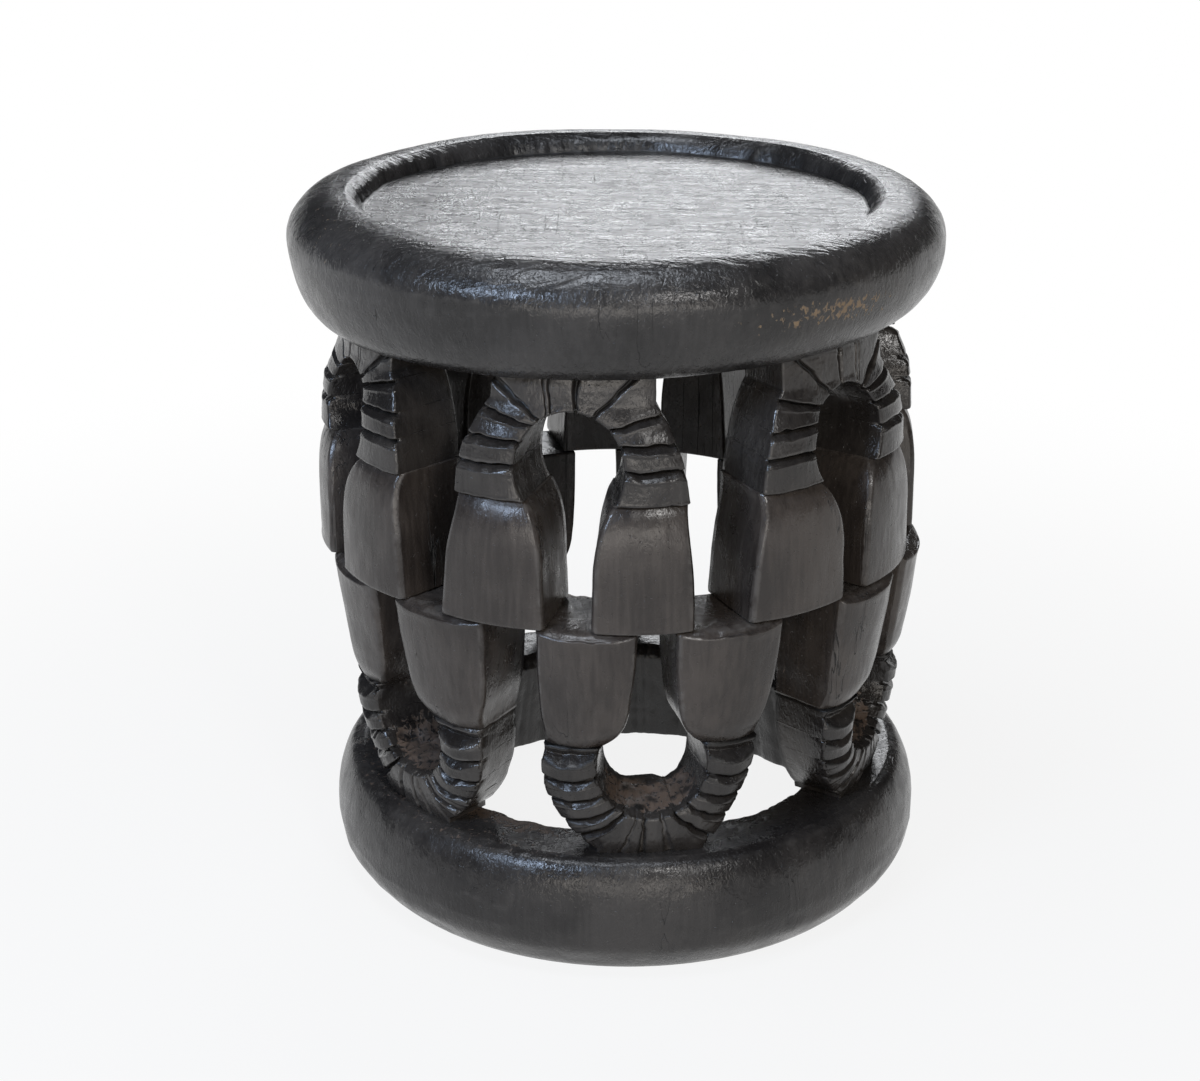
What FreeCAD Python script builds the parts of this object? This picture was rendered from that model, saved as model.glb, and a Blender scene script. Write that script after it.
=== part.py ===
# Round stool carved from one log: a dished seat and a foot ring, held apart by
# two tiers of double gongs. A double gong is a ribbed, arched handle with a
# bell on each leg. The upper tier hangs mouth down and the lower tier stands
# mouth up. Each carved member is its own solid, and members meet face to face.
#
# Millimetres. +Z is up, the front of the stool looks towards -Y, and the
# origin is on the floor under the middle of the seat.

import FreeCAD, Part
import math
import os

Vector = FreeCAD.Vector

os.makedirs("parts", exist_ok=True)

# Overall sizes
stool_height = 480.0
seat_radius = 217.5
gongs_per_tier = 6
arch_chords = 8

# Wall of carved members, from the face of the upper collars to the hollow
member_depth = 56.0
overrun = 12.0
flatness = 0.01

# Seat: how far the upper collars stand in from its edge, and its own form
seat_thickness = 75.0
seat_overhang = 16.5
seat_undercut = 25.5
seat_widest_height = 43.0
rim_roundness = 38.0
dish_slope_width = 12.0
dish_depth = 13.5

# Foot ring: how far it stands out from the lower collars, and its own form
ring_height = 82.0
ring_overhang = 10.5
ring_widest_height = 40.0
ring_foot_undercut = 19.0
ring_shoulder_width = 18.5
ring_inner_edge_width = 7.0
ring_edge_fall = 14.0
ring_inner_flare = 15.0

# Upper tier: gaps and widths at the face, then how far each part of the face
# stands back from the collar or out from it
upper_gong_gap = 46.1
upper_bell_gap = 29.0
upper_bell_overhang = 8.0
upper_leg_width = 42.0
upper_neck_step = 5.0
upper_crown_thickness = 22.0
upper_hole_straight = 22.0
upper_arch_cut = 6.5
upper_crown_setback = 15.0
upper_neck_setback = 5.0
upper_mouth_swell = 3.5
upper_leg_bow = 2.5
upper_leg_edge_width = 8.0

# Lower tier
lower_tier_setback = 5.0
lower_gong_gap = 49.7
lower_bell_gap = 26.0
lower_bell_overhang = 11.5
lower_leg_width = 35.5
lower_neck_step = 3.0
lower_crown_thickness = 30.0
lower_hole_straight = 13.0
lower_arch_cut = 6.5
lower_crown_setback = 13.0
lower_neck_setback = 5.0
lower_mouth_swell = 10.0
lower_leg_bow = 5.0
lower_leg_edge_width = 9.0
collar_facet_height = 10.0
collar_facet_depth = 7.5
lip_fall = 3.5
lip_width = 8.0

# Chamfer facet down each front corner of a bell
facet_width = 4.0
facet_depth = 5.0

# Grooves between the ribs
groove_depth = 5.5
groove_bevel = 6.5
fan_groove_depth = 6.0
fan_groove_half_width = 3.6

# The log was not carved quite true: each level stands a little to the right
ring_shift = 8.0
lower_tier_shift = 5.0
upper_tier_shift = 2.0

# Where each tier's front gong faces, in degrees to the right of the front
upper_front_angle = -8.9
lower_front_angle = 6.0

# Radii that follow
upper_collar_radius = seat_radius - seat_overhang
lower_collar_radius = upper_collar_radius - lower_tier_setback
hollow_radius = upper_collar_radius - member_depth
ring_radius = lower_collar_radius + ring_overhang

# Share of the way from the lower collars up to the upper ones where the
# mouths of the two tiers meet
mouth_level_share = 0.506

# How far each gong strays from an even spacing, as a share of the pitch,
# gong 1 (front) first, then round to the right
upper_stray_shares = (0.0, -0.043, -0.02, 0.003, 0.025, 0.048)
lower_stray_shares = (0.0, 0.0, 0.017, 0.03, 0.033, 0.067)

# Reach of each bell as a share of the tier's: (left inner, left outer,
# right inner, right outer)
upper_reach_shares = (
    (1.0, 1.04, 1.05, 0.955),
    (0.7, 1.04, 0.8, 1.0),
    (1.0, 1.03, 0.95, 1.0),
    (1.05, 1.0, 1.0, 1.04),
    (0.9, 1.02, 1.0, 1.03),
    (1.0, 1.0, 0.85, 1.0),
)
lower_reach_shares = (
    (0.95, 0.94, 1.05, 1.05),
    (1.0, 0.94, 0.95, 1.02),
    (1.1, 1.0, 0.9, 1.0),
    (1.85, 0.99, 1.85, 0.97),
    (0.9, 1.02, 1.0, 0.98),
    (1.0, 1.0, 1.0, 1.05),
)

# Seat's flank, from the underside's edge out to the widest point, and its
# shoulder, from there in to the rim: share of the way across, share of the
# way up
flank_shares = ((0.0, 0.0), (0.45, 0.16), (0.8, 0.5), (1.0, 1.0))
shoulder_shares = ((0.06, 0.4), (0.26, 0.72), (0.6, 0.93), (1.0, 1.0))

# Slope from the rim down to the dish's floor
slope_shares = ((0.56, 0.24), (1.0, 1.0))

# Outside of the ring from the foot's edge out to the widest point, and from
# there in to the flat crest
ring_flank_shares = ((0.0, 0.0), (0.72, 0.4), (1.0, 1.0))
ring_shoulder_shares = ((0.12, 0.44), (0.46, 0.82), (1.0, 1.0))

# Bell outlines from the mouth to the neck: share of the height, share of the
# inner corner's way to the neck, share of the outer corner's way, share of
# the front face's way back
upper_bell_shares = (
    (0.0, 0.0, 0.0, 0.0),
    (0.3, 0.03, 0.15, 0.0),
    (0.57, 0.1, 0.37, 0.02),
    (0.7, 0.22, 0.58, 0.1),
    (0.8, 0.37, 0.77, 0.26),
    (0.9, 0.62, 0.91, 0.52),
    (0.96, 0.83, 0.97, 0.78),
    (1.0, 1.0, 1.0, 1.0),
)
lower_bell_shares = (
    (0.0, 0.0, 0.0, 0.0),
    (0.32, 0.03, 0.12, 0.2),
    (0.56, 0.12, 0.34, 0.38),
    (0.7, 0.25, 0.5, 0.51),
    (0.8, 0.42, 0.63, 0.62),
    (0.89, 0.62, 0.8, 0.74),
    (0.95, 0.81, 0.9, 0.88),
    (1.0, 1.0, 1.0, 1.0),
)
# Half width of a handle's foot on the seat or the ring, as a share of its
# tier's reach
upper_foot_share = 0.73
lower_foot_share = 0.52

# How far a bell's front bows out per length of its half width, and how far
# its sides draw in per length of their depth
front_bow_share = 0.09
side_draw_share = 0.17

# Front face of a handle from the collar to the crown: share of the way from
# the collar's radius to the crown's, share of the height, share of the bow
upper_front_shares = (
    (0.0, 0.0, 1.0),
    (0.12, 0.34, 1.0),
    (0.57, 0.59, 0.6),
    (0.87, 0.77, 0.3),
    (1.0, 1.0, 0.2),
)
lower_front_shares = ((0.0, 0.0, 1.0), (0.08, 0.3, 1.0), (0.55, 0.72, 0.5), (1.0, 1.0, 0.2))

# Grooves across a leg, from the collar to the crown. Each runs from a point
# on the hole to one on the outside: share of the reach, share of the height
# from the collar to the top of the arch
upper_groove_shares = (
    ((0.42, 0.22), (1.02, 0.235)),
    ((0.44, 0.4), (0.97, 0.42)),
    ((0.38, 0.55), (0.87, 0.64)),
)
lower_groove_shares = (
    ((0.49, 0.265), (0.99, 0.28)),
    ((0.48, 0.43), (0.9, 0.455)),
    ((0.3, 0.51), (0.76, 0.67)),
)
# Grooves that part the fan at the crown from each leg, then upright grooves
# in the fan: share of the reach to the right of its middle
upper_fan_share_pairs = ((0.25, 0.62), (0.66, 0.83))
lower_fan_share_pairs = ((0.2, 0.64), (0.55, 0.86))
upper_flute_shares = (-0.21, 0.03)
lower_flute_shares = (-0.08, 0.17)
flute_height_shares = (0.62, 0.95)

# Levels that follow
underside_level = stool_height - seat_thickness


def between(low, high, share):
    return low + (high - low) * share


def on_circle(radius, turn, level):
    """A point at a radius and a turn, in radians, from the front."""
    return Vector(radius * math.sin(turn), -radius * math.cos(turn), level)


def profile_point(radius, level):
    return Vector(radius, 0, level)


def polyline(points):
    """Straight edges through the points, in their order."""
    return [Part.makeLine(start, end) for start, end in zip(points, points[1:])]


def closed_polyline(points):
    return polyline(points + points[:1])


def revolve_outline(edges):
    """A closed outline in the XZ plane turned round the vertical axis."""
    face = Part.Face(Part.Wire(edges))
    return face.revolve(Vector(0, 0, 0), Vector(0, 0, 1), 360)


def way_points(start, end, shares):
    """Points on the way between two (radius, level) pairs."""
    return [
        profile_point(between(start[0], end[0], across), between(start[1], end[1], up))
        for across, up in shares
    ]


def make_seat():
    """Bull-nosed disc with a raised rim round a flat, shallow dish."""
    rim_radius = seat_radius - rim_roundness
    dish_radius = rim_radius - dish_slope_width
    floor_level = stool_height - dish_depth
    foot = (seat_radius - seat_undercut, underside_level)
    widest = (seat_radius, underside_level + seat_widest_height)
    rim = (rim_radius, stool_height)
    outline = way_points(foot, widest, flank_shares)
    outline += way_points(widest, rim, shoulder_shares)
    outline += way_points(rim, (dish_radius, floor_level), slope_shares)
    outline += [profile_point(0, floor_level), profile_point(0, underside_level)]
    return revolve_outline(closed_polyline(outline))


def make_ring():
    """Thick ring with a rounded outside and a flat crest under the handles."""
    foot = (ring_radius - ring_foot_undercut, 0)
    widest = (ring_radius, ring_widest_height)
    crest = (ring_radius - ring_shoulder_width, ring_height)
    outline = way_points(foot, widest, ring_flank_shares)
    outline += way_points(widest, crest, ring_shoulder_shares)
    outline += [
        profile_point(hollow_radius + ring_inner_edge_width, ring_height),
        profile_point(hollow_radius, ring_height - ring_edge_fall),
        profile_point(hollow_radius + ring_inner_flare, 0),
    ]
    return revolve_outline(closed_polyline(outline))


def tier_sizes(name, collar_radius, sizes):
    """Levels, radii and reaches of a tier, worked out from its named sizes."""
    tier = dict(sizes)
    tier["name"] = name
    tier["collar_radius"] = collar_radius
    tier["crown_radius"] = collar_radius - sizes["crown_setback"]
    tier["neck_radius"] = collar_radius - sizes["neck_setback"]
    tier["mouth_radius"] = collar_radius + sizes["mouth_swell"]
    pitch_length = math.tau * tier["mouth_radius"] / gongs_per_tier
    tier["bell_outer"] = (pitch_length - sizes["gong_gap"]) / 2
    tier["bell_inner"] = sizes["bell_gap"] / 2
    tier["reach"] = tier["bell_outer"] - sizes["bell_overhang"]
    tier["hole"] = tier["reach"] - sizes["leg_width"]
    tier["neck_inner"] = tier["hole"] - sizes["neck_step"]
    tier["foot_reach"] = tier["reach"] * sizes["foot_share"]
    up = sizes["up"]
    handle_height = sizes["crown_thickness"] + tier["hole"] + sizes["hole_straight"]
    tier["collar"] = sizes["crown"] - up * handle_height
    tier["hole_centre"] = sizes["crown"] - up * (sizes["crown_thickness"] + tier["hole"])
    tier["arch_top"] = sizes["crown"] + up * sizes["arch_cut"]
    tier["arch_centre"] = tier["arch_top"] - up * tier["reach"]
    return tier


upper_tier = tier_sizes(
    "upper_gong",
    upper_collar_radius,
    {
        "up": 1,
        "crown": underside_level,
        "gong_gap": upper_gong_gap,
        "bell_gap": upper_bell_gap,
        "bell_overhang": upper_bell_overhang,
        "leg_width": upper_leg_width,
        "neck_step": upper_neck_step,
        "crown_thickness": upper_crown_thickness,
        "hole_straight": upper_hole_straight,
        "arch_cut": upper_arch_cut,
        "crown_setback": upper_crown_setback,
        "neck_setback": upper_neck_setback,
        "mouth_swell": upper_mouth_swell,
        "leg_bow": upper_leg_bow,
        "leg_edge_width": upper_leg_edge_width,
        "bell_shares": upper_bell_shares,
        "grooves": upper_groove_shares,
        "fan": upper_fan_share_pairs,
        "flutes": upper_flute_shares,
        "foot_share": upper_foot_share,
        "front_shares": upper_front_shares,
        "front_angle": upper_front_angle,
        "strays": upper_stray_shares,
        "reaches": upper_reach_shares,
        "shift": upper_tier_shift,
    },
)
lower_tier = tier_sizes(
    "lower_gong",
    lower_collar_radius,
    {
        "up": -1,
        "crown": ring_height,
        "gong_gap": lower_gong_gap,
        "bell_gap": lower_bell_gap,
        "bell_overhang": lower_bell_overhang,
        "leg_width": lower_leg_width,
        "neck_step": lower_neck_step,
        "crown_thickness": lower_crown_thickness,
        "hole_straight": lower_hole_straight,
        "arch_cut": lower_arch_cut,
        "crown_setback": lower_crown_setback,
        "neck_setback": lower_neck_setback,
        "mouth_swell": lower_mouth_swell,
        "leg_bow": lower_leg_bow,
        "leg_edge_width": lower_leg_edge_width,
        "bell_shares": lower_bell_shares,
        "grooves": lower_groove_shares,
        "fan": lower_fan_share_pairs,
        "flutes": lower_flute_shares,
        "foot_share": lower_foot_share,
        "front_shares": lower_front_shares,
        "front_angle": lower_front_angle,
        "strays": lower_stray_shares,
        "reaches": lower_reach_shares,
        "shift": lower_tier_shift,
    },
)
mouth_level = between(lower_tier["collar"], upper_tier["collar"], mouth_level_share)


def flat_face(corners):
    return Part.Face(Part.Wire(closed_polyline(corners)))


def faceted_loft(sections):
    """Solid through closed sections in flat facets, as a knife leaves them.

    A side that the sections twist is split into two triangles.
    """
    faces = [flat_face(sections[0]), flat_face(sections[-1])]
    for lower, upper in zip(sections, sections[1:]):
        for at, (start, above) in enumerate(zip(lower, upper)):
            following = (at + 1) % len(lower)
            end, far_corner = lower[following], upper[following]
            normal = (end - start).cross(above - start)
            twist = abs(normal.dot(far_corner - start)) / normal.Length
            if twist < flatness:
                faces.append(flat_face([start, end, far_corner, above]))
            else:
                faces.append(flat_face([start, end, far_corner]))
                faces.append(flat_face([start, far_corner, above]))
    shell = Part.Shell(faces)
    shell.sewShape()
    return Part.Solid(shell)


def bell_section(front, near, far, side, level):
    """One level of a bell, seen from above, with its middle towards the front."""
    half = (far - near) / 2
    bow = (half - facet_width) * front_bow_share
    cheek = front - bow - facet_depth
    drawn = (cheek - hollow_radius) * side_draw_share
    corners = [
        (near + half, front),
        (far - facet_width, front - bow),
        (far, cheek),
        (far - drawn, hollow_radius),
        (near + drawn, hollow_radius),
        (near, cheek),
        (near + facet_width, front - bow),
    ]
    return [Vector(side * across, -out, level) for across, out in corners]


def make_bell(tier, inner_share, outer_share, side):
    """Loft of level sections from the flat-cut mouth to the neck."""
    inner_mouth = tier["bell_inner"] * inner_share
    outer_mouth = tier["bell_outer"] * outer_share
    middle = (inner_mouth + outer_mouth) / 2
    sections = []
    for height, inner, outer, back in tier["bell_shares"]:
        sections.append(
            bell_section(
                between(tier["mouth_radius"], tier["neck_radius"], back),
                between(inner_mouth, tier["neck_inner"], inner) - middle,
                between(outer_mouth, tier["reach"], outer) - middle,
                side,
                between(mouth_level, tier["collar"], height),
            )
        )
    bell = faceted_loft(sections)
    if tier["up"] < 0:
        bell = bell.cut(lip_cutter(tier))
    bell.rotate(Vector(0, 0, 0), Vector(0, 0, 1), math.degrees(side * middle / tier["mouth_radius"]))
    return bell


def lip_cutter(tier):
    """Wedge that lets the front edge of a bell's mouth fall away."""
    front = tier["mouth_radius"]
    width = tier["bell_outer"]
    outline = [
        Vector(-width, -front + lip_width, mouth_level),
        Vector(-width, -front, mouth_level - lip_fall),
        Vector(-width, -front - overrun, mouth_level - lip_fall),
        Vector(-width, -front - overrun, mouth_level + overrun),
        Vector(-width, -front + lip_width, mouth_level + overrun),
    ]
    return flat_face(outline).extrude(Vector(2 * width, 0, 0))


def arch_points(radius, centre, up):
    """Chords over an arch, from the right spring to the left one."""
    turns = [math.pi * step / arch_chords for step in range(arch_chords + 1)]
    return [(radius * math.cos(turn), centre + up * radius * math.sin(turn)) for turn in turns]


def arch_outline(tier, plane_radius):
    """Front view of a handle, narrowed towards the axis so that it tapers."""
    narrowing = plane_radius / tier["collar_radius"]
    foot = tier["foot_reach"]
    foot_rise = math.sqrt(tier["reach"] ** 2 - foot ** 2)
    arch = arch_points(tier["reach"], tier["arch_centre"], tier["up"])
    leg = [(tier["reach"], tier["collar"])]
    leg += [(across, level) for across, level in arch if across > foot]
    leg += [(foot, tier["arch_centre"] + tier["up"] * foot_rise), (foot, tier["arch_top"])]
    places = leg + [(-across, level) for across, level in reversed(leg)]
    places += [(-tier["neck_inner"], tier["collar"])]
    places += reversed(arch_points(tier["hole"], tier["hole_centre"], tier["up"]))
    places += [(tier["neck_inner"], tier["collar"])]
    return [Vector(across * narrowing, -plane_radius, level) for across, level in places]


def handle_front(tier):
    """(radius, level, bow) of the front face, from the collar to the crown."""
    rows = [
        (
            between(tier["collar_radius"], tier["crown_radius"], back),
            between(tier["collar"], tier["crown"], height),
            tier["leg_bow"] * bow,
        )
        for back, height, bow in tier["front_shares"]
    ]
    if tier["up"] < 0:
        radius, level, bow = rows[0]
        rows[0] = (radius, level - collar_facet_height, bow)
        rows.insert(0, (radius - collar_facet_depth, level, bow))
    return rows


def wall_section(tier, radius, level, bow):
    """Plan of the wall that a handle is cut from, with each leg's face bowed."""
    edge = tier["leg_edge_width"]
    half_edge = edge / 2
    fallen = radius - bow * (edge + half_edge) / edge
    face = [
        (tier["reach"] + half_edge, fallen),
        (tier["reach"] - edge, radius),
        (tier["hole"] + edge, radius),
        (tier["hole"] - half_edge, fallen),
    ]
    face += [(-across, out) for across, out in reversed(face)]
    end = face[0][0]
    hollow = [(-end, hollow_radius), (-end / 2, hollow_radius), (0, hollow_radius)]
    hollow += [(end / 2, hollow_radius), (end, hollow_radius)]
    return [on_circle(out, across / tier["collar_radius"], level) for across, out in face + hollow]


def make_handle_blank(tier):
    """Tapered arch, cut from the wall between the hollow and the bowed face."""
    inner_plane = hollow_radius * math.cos(math.pi / gongs_per_tier) - overrun
    outer_plane = tier["collar_radius"] + overrun
    block = faceted_loft([arch_outline(tier, inner_plane), arch_outline(tier, outer_plane)])
    wall = faceted_loft([wall_section(tier, *row) for row in handle_front(tier)])
    return block.common(wall)


def front_radius_at(tier, level):
    """Radius of the handle's face at a level."""
    rows = handle_front(tier)
    for low, high in zip(rows, rows[1:]):
        share = (level - low[1]) / (high[1] - low[1])
        if 0 <= share <= 1:
            return between(low[0], high[0], share)
    return rows[-1][0]


def groove_cutter(tier, start, end, side, fan):
    """Three-sided bar that cuts one groove across a leg or up the fan."""
    across = [side * share * tier["reach"] for share, _ in (start, end)]
    levels = [between(tier["collar"], tier["arch_top"], height) for _, height in (start, end)]
    middle_level = sum(levels) / 2
    radius = front_radius_at(tier, middle_level)
    turn = sum(across) / 2 / radius
    outward = Vector(math.sin(turn), -math.cos(turn), 0)
    sideways = Vector(math.cos(turn), math.sin(turn), 0)
    run = sideways * (across[1] - across[0]) + Vector(0, 0, levels[1] - levels[0])
    half = run.Length / 2 + groove_bevel
    run.normalize()
    rise = outward.cross(run)
    if rise.z < 0:
        rise = rise * -1
    if fan:
        spread = fan_groove_half_width / fan_groove_depth * (fan_groove_depth + overrun)
        corners = [(0, -fan_groove_depth), (-spread, overrun), (spread, overrun)]
    else:
        slope = groove_bevel / groove_depth * (groove_depth + overrun)
        corners = [(0, -groove_depth), (0, overrun), (-slope, overrun)]
    base = outward * radius + Vector(0, 0, middle_level) - run * half
    outline = [base + rise * along + outward * out for along, out in corners]
    return flat_face(outline).extrude(run * (half * 2))


def make_handle(tier):
    """Arched handle with overlapping ribs and a fan of grooves."""
    cutters = []
    for side in (-1, 1):
        for start, end in tier["grooves"]:
            cutters.append(groove_cutter(tier, start, end, side, False))
        cutters.append(groove_cutter(tier, *tier["fan"], side, True))
    for across in tier["flutes"]:
        start, end = [(across, height) for height in flute_height_shares]
        cutters.append(groove_cutter(tier, start, end, 1, True))
    return make_handle_blank(tier).cut(cutters)


def place(shape, angle, shift):
    """Turn a member made at the front to its own place in the tier."""
    placed = shape.copy()
    placed.rotate(Vector(0, 0, 0), Vector(0, 0, 1), angle)
    placed.translate(Vector(shift, 0, 0))
    return placed


def save(name, shape):
    solid = shape.Solids[0]
    print(name, "solids", len(shape.Solids), "faces", len(solid.Faces),
          "volume cm3", round(solid.Volume / 1000, 1), "valid", solid.isValid())
    solid.exportStep("parts/" + name + ".step")


save("seat", make_seat())
save("base_ring", place(make_ring(), 0, ring_shift))
for tier in (upper_tier, lower_tier):
    handle = make_handle(tier)
    for number in range(gongs_per_tier):
        angle = tier["front_angle"] + (number + tier["strays"][number]) * 360 / gongs_per_tier
        name = tier["name"] + "_" + str(number + 1)
        save(name + "_handle", place(handle, angle, tier["shift"]))
        shares = tier["reaches"][number]
        for label, side, (inner_share, outer_share) in (("left", -1, shares[:2]), ("right", 1, shares[2:])):
            bell = make_bell(tier, inner_share, outer_share, side)
            save(name + "_" + label + "_bell", place(bell, angle, tier["shift"]))
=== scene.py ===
# %% [markdown]
# # A stool carved from one log
#
# This lesson dresses a carved African stool that is used as a side table.
# On the real object there is only one piece of wood. A carver cut a dished
# seat on top, a thick ring at the foot, and between them two tiers of double
# gongs: two bells that hang from one ribbed, arched handle.
#
# The construction is already there, as a fixed frame of plain solids. Here
# each solid gets a finer mesh of the same size in the same place, with the
# ribs, facets, cracks and polish that the knife and many years have left.

# %% Load the frame
import math

import bmesh
import bpy
import numpy as np
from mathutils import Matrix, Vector


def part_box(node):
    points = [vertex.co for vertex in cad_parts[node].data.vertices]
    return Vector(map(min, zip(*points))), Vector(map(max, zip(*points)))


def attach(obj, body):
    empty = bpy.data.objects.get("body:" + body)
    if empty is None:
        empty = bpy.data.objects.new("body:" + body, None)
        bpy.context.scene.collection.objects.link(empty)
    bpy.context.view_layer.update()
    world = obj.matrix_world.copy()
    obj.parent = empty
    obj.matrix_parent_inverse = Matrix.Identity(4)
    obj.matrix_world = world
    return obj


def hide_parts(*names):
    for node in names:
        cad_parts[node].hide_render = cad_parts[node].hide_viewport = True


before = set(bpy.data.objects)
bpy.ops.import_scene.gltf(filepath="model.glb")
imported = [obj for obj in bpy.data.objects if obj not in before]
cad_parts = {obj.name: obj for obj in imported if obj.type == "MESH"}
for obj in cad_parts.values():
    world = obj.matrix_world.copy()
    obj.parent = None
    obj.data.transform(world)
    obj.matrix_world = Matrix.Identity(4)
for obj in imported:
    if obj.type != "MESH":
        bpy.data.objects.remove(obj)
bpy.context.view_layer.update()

print("solids in the frame:", len(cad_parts))

# %% [markdown]
# ## Sizes
#
# Heights are read from the frame, so that every new piece ends exactly where
# its solid does. Radii and the ways in which the carver strayed from an even
# spacing are named once here. Everything is in metres.

# %% Heights from the frame
mm = 0.001


def level(node, top):
    """Lowest or highest level of a solid of the frame."""
    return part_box(node)[1 if top else 0][2]


ring_height = level("base_ring", True)
lower_collar_level = level("lower_gong_1_handle", True)
mouth_level = level("upper_gong_1_left_bell", False)
upper_collar_level = level("upper_gong_1_handle", False)
underside_level = level("upper_gong_1_handle", True)
stool_height = level("seat", True)
print("levels, mm:", [round(v / mm, 1) for v in (
    ring_height, lower_collar_level, mouth_level, upper_collar_level, underside_level, stool_height)])

# %% Radii and shifts
seat_radius = 217.5 * mm
underside_radius = 192 * mm
rim_radius = 179.5 * mm
seat_widest_height = 43 * mm
seat_tilt = 5.2 * mm
dish_radius = 167.5 * mm
dish_depth = 13.5 * mm

ring_radius = 206.5 * mm
ring_widest_height = 40 * mm
ring_foot_radius = 187 * mm
ring_top_radius = 188 * mm
ring_top_inner_radius = 152 * mm
ring_edge_fall = 14 * mm
ring_inner_radius = 160 * mm

hollow_radius = 145 * mm
ring_shift = 8 * mm
facet_width = 2.2 * mm
facet_depth = 3 * mm

gongs_per_tier = 6
pitch = math.tau / gongs_per_tier

# %% [markdown]
# ## The two tiers
#
# The upper gongs hang and the lower ones stand, but both are the same thing,
# so each tier is one table of sizes for the same functions. The first gong of
# a tier faces the front and the others follow to the right. In the tables:
#
# - strays: how far each gong is from an even spacing, in shares of the pitch
# - reaches: for each gong, the near and far side of its left bell and then of
#   its right bell, as shares of bell_inner and bell_outer
# - front_rows: way from the collar to the crown, radius of the front in mm
# - collar_rows and grooves: where the cuts in the front of a leg are
# - fans: the grooves at the crown, with half their width and depth in mm
# - bell_shares: way from the mouth to the neck, then how far the near side,
#   the far side and the front have gone from their mouth size to their neck

# %% Upper tier
upper_tier = {
    "name": "upper_gong",
    "up": 1,
    "front_angle": math.radians(-8.9),
    "strays": (0.0, -0.043, -0.02, 0.003, 0.025, 0.048),
    "reaches": (
        (1.0, 1.04, 1.05, 0.965),
        (0.7, 1.04, 0.8, 1.0),
        (1.0, 1.03, 0.95, 1.0),
        (1.05, 1.0, 1.0, 1.04),
        (0.9, 1.02, 1.0, 1.03),
        (1.0, 1.0, 0.85, 1.0),
    ),
    "shift": 2 * mm,
    "collar": upper_collar_level,
    "crown": underside_level,
    "collar_radius": 201 * mm,
    "front_rows": ((0.0, 201), (0.24, 200), (0.42, 198), (0.59, 192.5), (0.77, 188), (1.0, 186)),
    "collar_rows": (
        (0.0, 0.0, 1.2), (0.3, 0.0, 0.4), (0.8, 0.0, 0.0), (1.5, 0.0, -0.15), (2.3, 0.0, 0.0),
    ),
    "sink": 6.5 * mm,
    "front_bow": 1.5 * mm,
    "mouth_radius": 204.5 * mm,
    "neck_radius": 195.5 * mm,
    "reach": 76.5 * mm,
    "foot_share": 0.73,
    "leans": ((0.02, 0.035), (0.03, 0.02), (0.025, 0.03), (0.03, 0.03), (0.02, 0.03), (0.03, 0.02)),
    "arch_centre": 335.5 * mm,
    "hole": 35 * mm,
    "hole_centre": 348 * mm,
    "saddle": 1.5 * mm,
    "sag": 0.4 * mm,
    "bell_inner": 14.5 * mm,
    "bell_outer": 84 * mm,
    "neck_inner": 27.5 * mm,
    "neck_outer": 74.5 * mm,
    "leg_bow": 2.4 * mm,
    "bevel_depth": 3.6 * mm,
    "bevel_height": 3.8 * mm,
    "bell_shares": (
        (0.0, 0.0, 0.0, 0.0),
        (0.3, 0.05, 0.15, 0.0),
        (0.57, 0.13, 0.37, 0.02),
        (0.72, 0.27, 0.6, 0.12),
        (0.86, 0.52, 0.84, 0.38),
        (0.94, 0.75, 0.94, 0.66),
        (1.0, 1.0, 1.0, 1.0),
    ),
    "grooves": (
        ((0.287, 0.161), (0.488, 0.291), (0.645, 0.445)),
        ((0.287, 0.161), (0.488, 0.291), (0.645, 0.445)),
    ),
    "fans": (
        ((0.72, 0.584, 2.7, 4.0), (0.79, 0.87, 0.8, 1.6), (0.83, 0.9, 1.0, 2.4)),
        ((0.81, 0.673, 2.7, 4.0), (0.96, 0.975, 2.3, 4.4)),
    ),
}
print("upper arches are", round(2 * upper_tier["hole"] / mm), "mm wide")

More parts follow.
